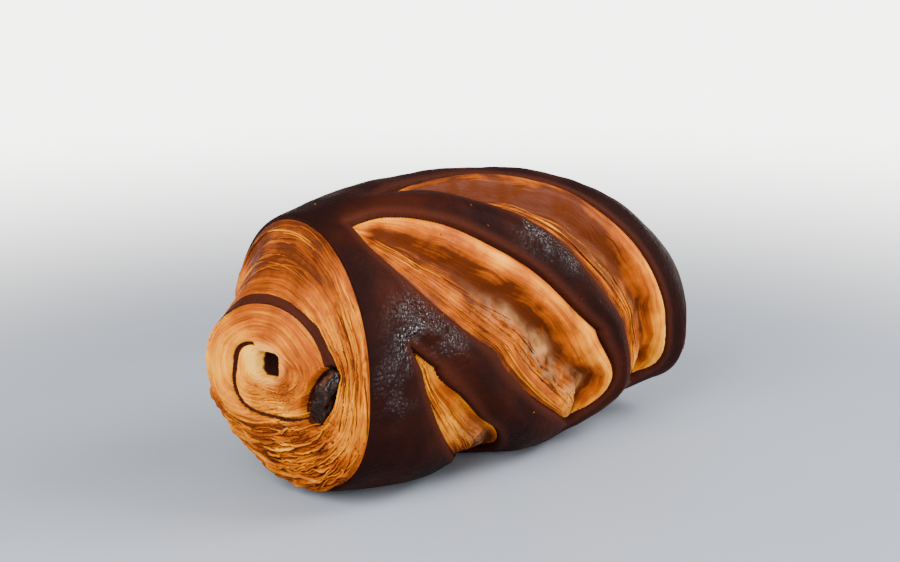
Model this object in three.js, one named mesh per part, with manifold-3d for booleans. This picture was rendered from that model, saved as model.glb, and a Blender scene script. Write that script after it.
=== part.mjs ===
// Pain au chocolat: a roll of laminated dough under a thin cocoa dough skin, scored on the slant so
// that the skin opened into ribs and valleys, with two chocolate batons running through the roll.
// Millimetres, +Z up, resting on z = 0. The roll's axis is X; the first coil faces -X.

import * as THREE from 'three';
import { mergeVertices } from 'three/addons/utils/BufferGeometryUtils.js';
import Module from 'manifold-3d';

// ---- driving dimensions -------------------------------------------------------------------------

const rollLength = 111;          // over both coil noses
const rollHalfWidth = 24.3;      // widest section
const rollHeight = 58.9;         // highest section, base to crest
const crestX = -10;              // where the roll is widest and highest
const nearReach = 75.6;          // how slowly the roll tapers towards -X
const farReach = 71.2;           // and towards +X
const taperPower = 2.13;         // plan outline: 1 - u^taperPower, to the power 1 / tipPower
const tipPower = 2.22;
const heightPower = 0.91;        // the crest tapers a little less than the sides
const sideRoundness = 0.95;      // section exponents: sides, then underside
const baseRoundness = 0.72;
const girthLevel = 0.47;         // height of the widest line, as a share of the section's height
const settle = 0.9;              // depth of dough pressed flat by its own weight

const nearRimX = -44.5;          // skin edge at the first end
const farRimX = 47.4;            // skin edge at the second end
const nearLift = { start: -24.6, span: 40, height: 10.8 };   // underside rises towards each end
const farLift = { start: 8, span: 20, height: 7 };

// Each end stands out past its skin edge as a coil whose face leans a little to one side.
const ends = {
  near: { rimX: nearRimX, side: -1, coilY: -1.1, coilZ: 27.6, coilRadius: 12.2, rise: 7.5, lean: 0.4, dome: 1.2 },
  far: { rimX: farRimX, side: 1, coilY: 0, coilZ: 22.5, coilRadius: 10, rise: 5.4, lean: 0.06, dome: 1.2 },
};

const batonGap = 0.35;           // room round each baton
const batons = {
  chocolate_baton_centre: {
    near: [-1.1, 27.6], far: [0, 22.5], half: [1.9, 2.1], turn: 0, nearX: -51.5, farX: 53.2,
  },
  chocolate_baton_outer: {
    near: [-11.3, 22.4], far: [-7.4, 18.1], half: [2.4, 5.9], turn: 0.43, nearX: -48.2, farX: 51.6,
  },
};

const stationsAlong = 46;        // mesh steps along the roll, round it and across each end
const stationsRound = 56;
const stationsAcross = 10;
const valleyFloor = 0.38;        // place of a score's lowest line, as a share of the way across it

// Scores in the skin, as [x, degrees round the roll from the crest, negative towards -Y].
const cuts = [
  { depth: 5, tip: [-35, -79], toe: [-8, -172],
    low: [[-32, -92], [-28, -108], [-23, -126], [-18, -143], [-14, -158]],
    high: [[-31, -86], [-28, -91], [-22.5, -98.5], [-16.5, -112], [-11.5, -122], [-7, -140], [-5, -158]] },
  { depth: 5.6, tip: [-38, -17], toe: [14, -144],
    low: [[-37.5, -34], [-35, -47], [-29, -65], [-21, -80.5], [-11.5, -94.5], [-2, -111], [6, -125], [10, -134]],
    high: [[-32, -18], [-28.5, -22], [-20, -33.5], [-11.5, -47.5], [-1.5, -63], [8, -80], [15.5, -91.5],
      [19.5, -101], [21.2, -111], [21, -121], [18.5, -133]] },
  { depth: 5.2, tip: [-27, -4], toe: [36, -146],
    low: [[-19, -10], [-10, -25], [-1, -38], [6.5, -51], [12.5, -65.5], [19, -81], [24, -94.5],
      [26.5, -107.5], [30.5, -130]],
    high: [[-18, 3], [-8, 4], [3, 2], [17.5, -12], [26.5, -33], [34.2, -55], [38.2, -76], [40.5, -95],
      [41.5, -115], [40, -134]] },
  { depth: 5.2, tip: [27, 14], toe: [-30, 124],
    low: [[14, 26], [2, 45], [-10, 66], [-20, 86], [-27, 106]],
    high: [[28, 27], [19, 48], [8, 68], [-3, 88], [-15, 108]] },
  { depth: 4.4, tip: [42, 48], toe: [2, 134],
    low: [[34, 60], [24, 76], [14, 94], [6, 114]],
    high: [[42, 64], [36, 82], [27, 100], [15, 120]] },
  { depth: 3, tip: [-20, 36], toe: [-38, 84],
    low: [[-27, 48], [-33, 60], [-37, 72]],
    high: [[-20, 50], [-26, 64], [-33, 76]] },
];

// ---- the roll's outer section -------------------------------------------------------------------

const clamp01 = (t) => Math.min(1, Math.max(0, t));
const smooth = (from, to, t) => {
  const s = clamp01((t - from) / (to - from));
  return s * s * (3 - 2 * s);
};
const signedPower = (t, power) => Math.sign(t) * Math.abs(t) ** power;

// Half width, crest height and underside height of the section at x.
function sectionSize(x) {
  const u = (x - crestX) / (x < crestX ? nearReach : farReach);
  const taper = (1 - Math.abs(u) ** taperPower) ** (1 / tipPower);
  const lift = x < 0 ? nearLift : farLift;
  const pastStart = Math.max(0, Math.sign(x) * (x - lift.start) / lift.span);
  return {
    half: rollHalfWidth * taper,
    top: rollHeight * taper ** heightPower,
    bottom: lift.height * (1 - Math.exp(-(pastStart ** 2))) - settle,
  };
}

// Point on the uncut section at x; angle 0 is the crest and -PI / 2 the -Y side.
function sectionPoint(x, angle) {
  const { half, top, bottom } = sectionSize(x);
  const middle = bottom + (top - bottom) * girthLevel;
  const up = Math.cos(angle);
  const y = half * signedPower(Math.sin(angle), sideRoundness);
  const z = up >= 0 ? middle + (top - middle) * up : middle - (middle - bottom) * (-up) ** baseRoundness;
  return new THREE.Vector3(x, y, z);
}

// ---- scores -------------------------------------------------------------------------------------

const mmPerDegree = rollHalfWidth * 2 * Math.PI / 360 * 1.08;   // unrolled girth over one degree
const edgeSteps = 30;

// An edge of a score on the unrolled skin, in mm, from its tip through its points to its toe.
function scoreEdge(tip, points, toe) {
  const unrolled = [tip, ...points, toe].map(([x, degrees]) => new THREE.Vector3(x, degrees * mmPerDegree, 0));
  return new THREE.CatmullRomCurve3(unrolled, false, 'centripetal').getPoints(edgeSteps);
}

function distanceToEdge(edge, point) {
  const nearest = new THREE.Vector3();
  const stretch = new THREE.Line3();
  let best = Infinity;
  for (let i = 1; i < edge.length; i++) {
    stretch.set(edge[i - 1], edge[i]).closestPointToPoint(point, true, nearest);
    best = Math.min(best, nearest.distanceTo(point));
  }
  return best;
}

function isInside(outline, point) {
  let inside = false;
  for (let i = 0, j = outline.length - 1; i < outline.length; j = i++) {
    const [a, b] = [outline[i], outline[j]];
    const crosses = (a.y > point.y) !== (b.y > point.y);
    if (crosses && point.x < (b.x - a.x) * (point.y - a.y) / (b.y - a.y) + a.x) inside = !inside;
  }
  return inside;
}

const scores = cuts.map(({ depth, tip, toe, low, high }) => {
  const lowEdge = scoreEdge(tip, low, toe);
  const highEdge = scoreEdge(tip, high, toe);
  return { depth, lowEdge, highEdge, outline: [...lowEdge, ...highEdge.slice(1, -1).reverse()] };
});

// Depth of the scores at a place on the skin: each valley is deepest nearer its low-x edge.
function scoreDepth(x, angle) {
  const place = new THREE.Vector3(x, angle * 180 / Math.PI * mmPerDegree, 0);
  for (const score of scores) {
    if (!isInside(score.outline, place)) continue;
    const fromLow = distanceToEdge(score.lowEdge, place);
    const fromHigh = distanceToEdge(score.highEdge, place);
    const across = fromLow / (fromLow + fromHigh);
    const widthShare = clamp01((fromLow + fromHigh) / 12);
    return score.depth * widthShare * smooth(0, valleyFloor, across) * smooth(1, valleyFloor, across);
  }
  return 0;
}

function skinPoint(x, angle) {
  const surface = sectionPoint(x, angle);
  const { top, bottom } = sectionSize(x);
  const middle = new THREE.Vector3(x, 0, bottom + (top - bottom) * girthLevel);
  const inward = middle.sub(surface).normalize();
  return surface.addScaledVector(inward, scoreDepth(x, angle));
}

// ---- coiled ends --------------------------------------------------------------------------------

// How far an end stands out past its skin edge, at a share of the way from the coil's centre to that edge.
function noseHeight(end, share, offset, reach) {
  const fromCentre = share * reach;
  if (fromCentre < end.coilRadius) {
    const dome = end.dome * (1 - (fromCentre / end.coilRadius) ** 2);
    return end.rise + end.lean * offset * share + dome;
  }
  const coilEdge = end.rise + end.lean * offset * end.coilRadius / reach;
  const inwards = (reach - fromCentre) / (reach - end.coilRadius);
  return coilEdge * (0.25 * inwards + 0.75 * inwards ** 2);
}

function endPoint(end, angle, share) {
  const rim = skinPoint(end.rimX, angle);
  const offset = rim.y - end.coilY;
  const rise = rim.z - end.coilZ;
  const height = noseHeight(end, share, offset, Math.hypot(offset, rise));
  return new THREE.Vector3(end.rimX + end.side * height, end.coilY + offset * share, end.coilZ + rise * share);
}

// ---- meshes -------------------------------------------------------------------------------------

// Closed skin over a stack of rings, each a list of points round the roll, capped by two middle points.
function closedRings(rings, firstPole, lastPole) {
  const round = rings[0].length;
  const positions = [firstPole, ...rings.flat(), lastPole].flatMap((p) => [p.x, p.y, p.z]);
  const index = [];
  const at = (ring, i) => 1 + ring * round + (i % round);
  const last = positions.length / 3 - 1;
  for (let i = 0; i < round; i++) {
    index.push(0, at(0, i), at(0, i + 1));
    index.push(last, at(rings.length - 1, i + 1), at(rings.length - 1, i));
    for (let ring = 1; ring < rings.length; ring++) {
      index.push(at(ring - 1, i), at(ring, i), at(ring, i + 1));
      index.push(at(ring - 1, i), at(ring, i + 1), at(ring - 1, i + 1));
    }
  }
  const geometry = new THREE.BufferGeometry();
  geometry.setAttribute('position', new THREE.Float32BufferAttribute(positions, 3));
  geometry.setIndex(index);
  return geometry;
}

// Angles round the roll from the underside, so that the -Y side is negative.
const angles = Array.from({ length: stationsRound }, (_, i) => (i / stationsRound) * 2 * Math.PI - Math.PI);

function rollGeometry() {
  const rings = [];
  for (let k = 1; k < stationsAcross; k++) {
    rings.push(angles.map((angle) => endPoint(ends.near, angle, k / stationsAcross)));
  }
  for (let k = 0; k <= stationsAlong; k++) {
    const x = nearRimX + (farRimX - nearRimX) * (k / stationsAlong);
    rings.push(angles.map((angle) => skinPoint(x, angle)));
  }
  for (let k = stationsAcross - 1; k > 0; k--) {
    rings.push(angles.map((angle) => endPoint(ends.far, angle, k / stationsAcross)));
  }
  return closedRings(rings, endPoint(ends.near, 0, 0), endPoint(ends.far, 0, 0));
}

// A baton, or with extra room the channel it lies in: a rounded bar between the two coils.
function barGeometry(baton, room, extraLength) {
  const round = 16;
  const steps = 10;
  const from = baton.nearX - extraLength;
  const to = baton.farX + extraLength;
  const centreAt = (x) => {
    const t = (x - baton.nearX) / (baton.farX - baton.nearX);
    return baton.near.map((value, axis) => value + (baton.far[axis] - value) * t);
  };
  const ring = (x) => {
    const [centreY, centreZ] = centreAt(x);
    return Array.from({ length: round }, (_, i) => {
      const angle = (i / round) * 2 * Math.PI;
      const across = (baton.half[0] + room) * signedPower(Math.sin(angle), 0.6);
      const up = (baton.half[1] + room) * signedPower(Math.cos(angle), 0.6);
      const y = centreY + across * Math.cos(baton.turn) - up * Math.sin(baton.turn);
      const z = centreZ + across * Math.sin(baton.turn) + up * Math.cos(baton.turn);
      return new THREE.Vector3(x, y, z);
    });
  };
  const rings = Array.from({ length: steps + 1 }, (_, k) => ring(from + (to - from) * (k / steps)));
  return closedRings(rings, new THREE.Vector3(from, ...centreAt(from)), new THREE.Vector3(to, ...centreAt(to)));
}

// ---- cutting ------------------------------------------------------------------------------------

const wasm = await Module();
wasm.setup();

function toSolid(geometry) {
  const bare = geometry.clone();
  bare.deleteAttribute('normal');
  bare.deleteAttribute('uv');
  const merged = mergeVertices(bare, 1e-4);
  return new wasm.Manifold(new wasm.Mesh({
    numProp: 3,
    vertProperties: new Float32Array(merged.attributes.position.array),
    triVerts: new Uint32Array(merged.index.array),
  }));
}

function toGeometry(solid) {
  const mesh = solid.getMesh();
  const geometry = new THREE.BufferGeometry();
  geometry.setAttribute('position', new THREE.BufferAttribute(mesh.vertProperties, 3));
  geometry.setIndex(new THREE.BufferAttribute(mesh.triVerts, 1));
  return geometry;
}

// The roll with its channels opened and its underside pressed flat at z = 0.
function pastryGeometry() {
  const table = new THREE.BoxGeometry(2 * rollLength, 4 * rollHalfWidth, 20).translate(0, 0, -10);
  const channelRun = 9;
  let solid = toSolid(rollGeometry()).subtract(toSolid(table));
  for (const baton of Object.values(batons)) {
    solid = solid.subtract(toSolid(barGeometry(baton, batonGap, channelRun)));
  }
  return toGeometry(solid);
}

// ---- the pastry ---------------------------------------------------------------------------------

const bakedDough = new THREE.MeshStandardMaterial({ color: 0xb5692a, roughness: 0.55, metalness: 0 });
const darkChocolate = new THREE.MeshStandardMaterial({ color: 0x24120d, roughness: 0.3, metalness: 0 });

const group = new THREE.Group();

function addPiece(name, geometry, material) {
  geometry.computeVertexNormals();
  const mesh = new THREE.Mesh(geometry, material);
  mesh.name = name;
  group.add(mesh);
}

const pastry = pastryGeometry();
addPiece('pastry', pastry, bakedDough);
for (const [name, baton] of Object.entries(batons)) {
  addPiece(name, barGeometry(baton, 0, 0), darkChocolate);
}

// The origin lies under the middle of the pastry.
pastry.computeBoundingBox();
const middle = pastry.boundingBox.getCenter(new THREE.Vector3());
group.position.set(-middle.x, -middle.y, 0);

export default group;
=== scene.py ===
import math

import bpy
import numpy as np
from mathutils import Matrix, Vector


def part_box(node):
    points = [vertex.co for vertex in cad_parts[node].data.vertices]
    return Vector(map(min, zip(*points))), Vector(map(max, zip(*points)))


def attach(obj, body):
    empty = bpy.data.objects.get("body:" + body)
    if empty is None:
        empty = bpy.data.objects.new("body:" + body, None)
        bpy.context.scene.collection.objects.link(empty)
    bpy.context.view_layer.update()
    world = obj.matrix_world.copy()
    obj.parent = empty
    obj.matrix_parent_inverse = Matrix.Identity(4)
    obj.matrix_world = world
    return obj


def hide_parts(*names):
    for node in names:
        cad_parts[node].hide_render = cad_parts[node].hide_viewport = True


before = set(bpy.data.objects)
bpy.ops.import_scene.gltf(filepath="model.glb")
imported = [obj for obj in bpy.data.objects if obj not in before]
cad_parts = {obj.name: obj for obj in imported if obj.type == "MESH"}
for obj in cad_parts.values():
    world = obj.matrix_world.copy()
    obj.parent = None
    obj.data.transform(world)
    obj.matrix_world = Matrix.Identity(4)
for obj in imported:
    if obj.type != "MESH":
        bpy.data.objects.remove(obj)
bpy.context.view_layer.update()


# everything below is worked out in millimetres, with the roll along x
roll = {
    "halfWidth": 24.3, "height": 58.9, "crestX": -10.0, "nearReach": 75.6, "farReach": 71.2,
    "taperPower": 2.13, "tipPower": 2.22, "heightPower": 0.91, "sideRoundness": 0.95,
    "baseRoundness": 0.72, "girthLevel": 0.47, "settle": 0.9, "nearRim": -44.5, "farRim": 47.4,
    "nearLift": (-24.6, 40.0, 10.8), "farLift": (8.0, 20.0, 7.0),
    "nearNose": 12.25,   # how far the near coil stands out past the skin's edge
    "girthStretch": 1.08,   # the way round the roll, against a circle as wide as it
}
mmPerDegree = roll["halfWidth"] * 2 * math.pi / 360 * roll["girthStretch"]
pastryLow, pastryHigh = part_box("pastry")
originX = pastryLow.x * 1000 - (roll["nearRim"] - roll["nearNose"])
originY = (pastryLow.y + pastryHigh.y) * 500


def toMetres(points):
    return (points + np.array([originX, originY, 0.0])) / 1000


noiseTable = np.random.RandomState(11)
gradients = noiseTable.normal(size=(256, 3))
gradients /= np.linalg.norm(gradients, axis=1)[:, None]
shuffle = np.concatenate([noiseTable.permutation(256)] * 2)


def noise(points, size, seed=0):   # gradient noise, about -1 to 1
    p = np.asarray(points, float) / size + seed * np.array([17.3, 5.7, 31.1])
    cell = np.floor(p).astype(int)
    f = p - cell
    fade = f * f * f * (f * (f * 6 - 15) + 10)
    total = np.zeros(p.shape[:-1])
    for corner in np.ndindex(2, 2, 2):
        c = (cell + corner) & 255
        slot = shuffle[shuffle[shuffle[c[..., 0]] + c[..., 1]] + c[..., 2]]
        dot = (gradients[slot] * (f - corner)).sum(-1)
        weight = np.ones(p.shape[:-1])
        for axis in range(3):
            weight = weight * (fade[..., axis] if corner[axis] else 1 - fade[..., axis])
        total += weight * dot
    return total * 1.6


def roughNoise(points, size, octaves=3, seed=0):
    return sum(noise(points, size / 2 ** k, seed + k) / 2 ** k for k in range(octaves))


def smooth(low, high, value):
    t = np.clip((value - low) / (high - low), 0, 1)
    return t * t * (3 - 2 * t)


def signedPower(value, power):
    return np.sign(value) * np.abs(value) ** power


def curveThrough(points, steps):   # smooth curve through points, evenly timed by chord length
    p = np.array(points, float)
    knots = np.concatenate([[0], np.cumsum(np.sqrt(np.linalg.norm(np.diff(p, axis=0), axis=1)))])
    slope = np.gradient(p, knots, axis=0)
    t = np.linspace(0, knots[-1], steps + 1)
    i = np.clip(np.searchsorted(knots, t, side="right") - 1, 0, len(p) - 2)
    h = (knots[i + 1] - knots[i])[:, None]
    s = ((t - knots[i]) / h[:, 0])[:, None]
    return ((2 * s ** 3 - 3 * s ** 2 + 1) * p[i] + (s ** 3 - 2 * s ** 2 + s) * h * slope[i]
            + (3 * s ** 2 - 2 * s ** 3) * p[i + 1] + (s ** 3 - s ** 2) * h * slope[i + 1])


def softTable(value, places, levels, period=None):   # smooth curve through a table of levels
    places, levels = np.array(places, float), np.array(levels, float)
    if period:
        places = np.concatenate([places - period, places, places + period])
        levels = np.tile(levels, 3)
    slope = np.gradient(levels, places)
    i = np.clip(np.searchsorted(places, value, side="right") - 1, 0, len(places) - 2)
    h = places[i + 1] - places[i]
    s = np.clip((value - places[i]) / h, 0, 1)
    return ((2 * s ** 3 - 3 * s ** 2 + 1) * levels[i] + (s ** 3 - 2 * s ** 2 + s) * h * slope[i]
            + (3 * s ** 2 - 2 * s ** 3) * levels[i + 1] + (s ** 3 - s ** 2) * h * slope[i + 1])


def strata(layer, run, seed):   # rounded folds along run, with sharp creases between them
    shape = np.stack([layer * 1.15, run / 11.0, 0 * run + seed * 3.7], -1)
    fold = noise(shape, 1.0, seed)
    thin = noise(shape * np.array([2.3, 1.6, 1.0]), 1.0, seed + 1)
    crease = np.maximum(np.exp(-(fold / 0.09) ** 2), 0.7 * np.exp(-(thin / 0.11) ** 2))
    return np.abs(fold) * 1.3 + np.abs(thin) * 0.6 - 0.5 * crease, crease


def sectionPoint(x, angle):   # angle 0 is the crest, negative towards -y
    r = roll
    u = (x - r["crestX"]) / np.where(x < r["crestX"], r["nearReach"], r["farReach"])
    taper = np.clip(1 - np.abs(u) ** r["taperPower"], 1e-3, 1) ** (1 / r["tipPower"])
    bottom = -r["settle"] + 0 * x
    for side, (start, span, height) in ((-1, r["nearLift"]), (1, r["farLift"])):
        bottom = bottom + height * (1 - np.exp(-(np.maximum(0, side * (x - start)) / span) ** 2))
    top = r["height"] * taper ** r["heightPower"]
    middle = bottom + (top - bottom) * r["girthLevel"]
    up = np.cos(angle)
    y = r["halfWidth"] * taper * signedPower(np.sin(angle), r["sideRoundness"])
    below = middle - (middle - bottom) * np.maximum(-up, 0) ** r["baseRoundness"]
    z = np.where(up >= 0, middle + (top - middle) * up, below)
    return np.stack([x + 0 * angle, y, z], -1)


def sectionNormal(x, angle):
    step = 0.01
    along = sectionPoint(x + step, angle) - sectionPoint(x - step, angle)
    around = sectionPoint(x, angle + step) - sectionPoint(x, angle - step)
    normal = np.cross(along, around)
    return normal / (np.linalg.norm(normal, axis=-1)[..., None] + 1e-9)


# scores in the skin, with their edges as (x, degrees round the roll from the crest)
scores = [
    # the first score's darker below zero paints its dough paler: painted light
    {"tip": (-35, -79), "toe": (-8, -172), "depth": 3.4, "lip": 0.90, "darker": -0.30,
     "low": [(-32, -92), (-28, -108), (-23, -126), (-18, -143), (-14, -158)],
     "high": [(-31, -86), (-28, -91), (-22.5, -98.5), (-16.5, -112), (-11.5, -122), (-7, -140),
              (-5, -158)]},
    {"tip": (-38, -17), "toe": (14, -144), "depth": 5.4, "lip": 0.56,
     "low": [(-37.5, -34), (-35, -47), (-29, -65), (-21, -80.5), (-11.5, -94.5), (-2, -111), (6, -125),
             (10, -134)],
     "high": [(-32, -18), (-28.5, -22), (-20, -33.5), (-11.5, -47.5), (-1.5, -63), (8, -80), (15.5, -91.5),
              (19.5, -101), (21.2, -111), (21, -121), (18.5, -133)]},
    {"tip": (-27, -4), "toe": (36, -146), "depth": 5.2, "lip": 0.56, "darker": 0.36,
     "low": [(-19, -10), (-10, -25), (-1, -38), (6.5, -51), (12.5, -65.5), (19, -81), (24, -94.5),
             (26.5, -107.5), (30.5, -130)],
     "high": [(-18, 3), (-8, 4), (3, 2), (17.5, -12), (26.5, -33), (34.2, -55), (38.2, -76), (40.5, -95),
              (41.5, -115), (40, -134)]},
    {"tip": (27, 14), "toe": (-30, 124), "depth": 5.2, "lip": 0.58,
     "low": [(14, 26), (2, 45), (-10, 66), (-20, 86), (-27, 106)],
     "high": [(28, 27), (19, 48), (8, 68), (-3, 88), (-15, 108)]},
    {"tip": (42, 48), "toe": (2, 134), "depth": 4.4, "lip": 0.6,
     "low": [(34, 60), (24, 76), (14, 94), (6, 114)],
     "high": [(42, 64), (36, 82), (27, 100), (15, 120)]},
    {"tip": (-20, 36), "toe": (-38, 84), "depth": 3.6, "lip": 0.66,
     "low": [(-27, 48), (-33, 60), (-37, 72)],
     "high": [(-20, 50), (-26, 64), (-33, 76)]},
]
edgeSteps = 44


def nearestOnLine(points, line):   # distance, nearest point and arc length along a polyline
    best = np.full(len(points), 1e9)
    nearest = np.zeros((len(points), 2))
    arc = np.zeros(len(points))
    walked = 0.0
    for a, b in zip(line[:-1], line[1:]):
        span = b - a
        length = np.linalg.norm(span)
        t = np.clip(((points - a) @ span) / length ** 2, 0, 1)
        spot = a + t[:, None] * span
        gap = np.linalg.norm(points - spot, axis=1)
        closer = gap < best
        best[closer] = gap[closer]
        nearest[closer] = spot[closer]
        arc[closer] = walked + t[closer] * length
        walked += length
    return best, nearest, arc, walked


def insideOutline(points, outline):
    inside = np.zeros(len(points), bool)
    for a, b in zip(outline, np.roll(outline, 1, axis=0)):
        crosses = (a[1] > points[:, 1]) != (b[1] > points[:, 1])
        rise = b[1] - a[1] if abs(b[1] - a[1]) > 1e-9 else 1e-9
        inside ^= crosses & (points[:, 0] < (b[0] - a[0]) * (points[:, 1] - a[1]) / rise + a[0])
    return inside


def scoreField(u, v):
    flat = np.stack([u.ravel(), v.ravel()], 1)
    keys = ("across", "along", "width", "depth", "lip", "share", "darker")
    field = {key: np.zeros(len(flat)) for key in keys}
    field["edge"] = np.full(len(flat), 1e9)
    field["toSkin"] = np.zeros((len(flat), 2))
    for score in scores:
        tip, toe = score["tip"], score["toe"]
        unroll = np.array([1, mmPerDegree])
        low = curveThrough([tip, *score["low"], toe], edgeSteps) * unroll
        high = curveThrough([tip, *score["high"], toe], edgeSteps) * unroll
        inside = insideOutline(flat, np.concatenate([low, high[-2:0:-1]]))
        lowGap, lowSpot, lowArc, lowLength = nearestOnLine(flat, low)
        highGap, highSpot, highArc, highLength = nearestOnLine(flat, high)
        gap = np.minimum(lowGap, highGap)
        spot = np.where((lowGap < highGap)[:, None], lowSpot, highSpot)
        signed = np.where(inside, -gap, gap)
        away = (flat - spot) * np.where(inside, -1, 1)[:, None] / (gap[:, None] + 1e-6)
        use = signed < field["edge"]
        field["edge"][use] = signed[use]
        field["toSkin"][use] = away[use]
        across = lowGap / (lowGap + highGap + 1e-9)
        share = (1 - across) * lowArc / lowLength + across * highArc / highLength
        for key, value in (("across", across), ("share", share), ("along", share * lowLength),
                           ("width", lowGap + highGap), ("depth", score["depth"] + 0 * gap),
                           ("lip", score["lip"] + 0 * gap), ("darker", score.get("darker", 0) + 0 * gap)):
            field[key][inside] = value[inside]
    return {key: value.reshape(u.shape + value.shape[1:]) for key, value in field.items()}


def closedRings(rings, firstPole, lastPole):
    perRing = rings[0].shape[0]
    points = np.concatenate([firstPole[None], *rings, lastPole[None]])
    i = np.arange(perRing)
    j = (i + 1) % perRing
    last = len(points) - 1
    start = 1 + (len(rings) - 1) * perRing
    triangles = np.concatenate([np.stack([0 * i, 1 + i, 1 + j], 1),
                                np.stack([0 * i + last, start + j, start + i], 1)])
    quads = []
    for k in range(1, len(rings)):
        a, b = 1 + (k - 1) * perRing, 1 + k * perRing
        quads.append(np.stack([a + i, b + i, b + j, a + j], 1))
    return points, triangles, np.concatenate(quads)


def makePiece(name, rings, firstPole, lastPole, attributes, material):
    points, triangles, quads = closedRings(rings, firstPole, lastPole)
    polygons = triangles.tolist() + quads.tolist()
    a, b, c, d = (points[quads[:, k]] for k in range(4))
    volume = (np.cross(a, b) * c).sum() + (np.cross(a, c) * d).sum()
    if volume < 0:
        polygons = [face[::-1] for face in polygons]
    mesh = bpy.data.meshes.new(name)
    mesh.from_pydata(toMetres(points).tolist(), [], polygons)
    for key, (first, body, last) in attributes.items():
        values = np.concatenate([[first], np.concatenate(body), [last]]).astype(np.float32)
        layer = mesh.attributes.new(key, "FLOAT", "POINT")
        layer.data.foreach_set("value", values)
    mesh.polygons.foreach_set("use_smooth", [True] * len(mesh.polygons))
    mesh.materials.append(material)
    mesh.update()
    piece = bpy.data.objects.new(name, mesh)
    bpy.context.scene.collection.objects.link(piece)
    print(name, "triangles", sum(len(p.vertices) - 2 for p in mesh.polygons), "volume sign", volume > 0)
    return piece


class Wire:   # a node socket that can be added, multiplied and so on
    def __init__(self, sheet, socket):
        self.sheet, self.socket = sheet, socket

    def maths(self, operation, *values):
        return self.sheet.node("ShaderNodeMath", {"operation": operation}, *values)

    def __add__(self, other):
        return self.maths("ADD", self, other)

    def __sub__(self, other):
        return self.maths("SUBTRACT", self, other)

    def __rsub__(self, other):
        return self.maths("SUBTRACT", other, self)

    def __mul__(self, other):
        return self.maths("MULTIPLY", self, other)

    __radd__ = __add__
    __rmul__ = __mul__

    def between(self, low, high):   # 0 below low, 1 above high, smooth between
        return self.sheet.node("ShaderNodeMapRange", {"interpolation_type": "SMOOTHSTEP"}, self, low, high)


class Sheet:   # a node tree, where one method makes every node
    def __init__(self, name, geometry=False):
        if geometry:
            self.tree = bpy.data.node_groups.new(name, "GeometryNodeTree")
            return
        self.material = bpy.data.materials.new(name)
        self.material.use_nodes = True
        self.tree = self.material.node_tree
        self.tree.nodes.clear()

    def node(self, kind, settings=None, *values, output=0, **named):
        made = self.tree.nodes.new(kind)
        for key, value in (settings or {}).items():
            if key == "stops":
                ramp = made.color_ramp
                while len(ramp.elements) < len(value):
                    ramp.elements.new(0.5)
                for stop, (place, colour) in zip(ramp.elements, value):
                    stop.position, stop.color = place, (*colour, 1)
            else:
                setattr(made, key, value)
        for key, value in [*enumerate(values), *named.items()]:
            socket = made.inputs[key]
            if isinstance(value, Wire):
                self.tree.links.new(value.socket, socket)
            elif value is not None:
                socket.default_value = value
        return Wire(self, made.outputs[output]) if len(made.outputs) else None

    def sockets(self, inputs, output):   # a geometry tree's named inputs, and the mesh that it gives
        for name, kind in inputs.items():
            self.tree.interface.new_socket(name, in_out="INPUT", socket_type="NodeSocket" + kind)
        self.tree.interface.new_socket(output, in_out="OUTPUT", socket_type="NodeSocketGeometry")

    def given(self, name):
        return self.node("NodeGroupInput", output=name)

    def attribute(self, name):
        return self.node("ShaderNodeAttribute", {"attribute_name": name}, output="Fac")

    def place(self):
        return self.node("ShaderNodeTexCoord", output="Object")

    def vector(self, x, y, z=0.0):
        return self.node("ShaderNodeCombineXYZ", None, x, y, z)

    def noise(self, where, scale, detail=3.0, roughness=0.55):
        return self.node("ShaderNodeTexNoise", None,
                         Vector=where, Scale=scale, Detail=detail, Roughness=roughness)

    def mix(self, factor, first, second):   # one colour into another
        made = self.tree.nodes.new("ShaderNodeMix")
        made.data_type = "RGBA"
        for socket, value in ((made.inputs[0], factor), (made.inputs[6], first), (made.inputs[7], second)):
            if isinstance(value, Wire):
                self.tree.links.new(value.socket, socket)
            else:
                socket.default_value = (*value, 1) if isinstance(value, tuple) else value
        return Wire(self, made.outputs[2])

    def bump(self, height, strength, distance):
        return self.node("ShaderNodeBump", None, Strength=strength, Distance=distance, Height=height)

    def finish(self, surface):
        self.node("ShaderNodeOutputMaterial", None, Surface=surface)
        return self.material


crustLook = {
    "pale": (0.82, 0.41, 0.03), "gold": (0.60, 0.195, 0.0), "amber": (0.32, 0.061, 0.0),
    "brown": (0.07, 0.012, 0.0008), "creviceShade": (0.045, 0.007, 0.001), "clear": (0.44, 0.22, 0.08),
    "cocoa": (0.0095, 0.0028, 0.0022), "cocoaWarm": (0.030, 0.0058, 0.0026),
    "cocoaSheenAndEnds": (0.050, 0.012, 0.006),
    "coarse": 160.0, "fine": 900.0, "blister": 1250.0, "patch": 140.0, "warm": 60.0,   # patterns, per metre
    "doughRough": 0.62, "dullRough": 0.5, "glossyRough": 0.13,
}


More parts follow.
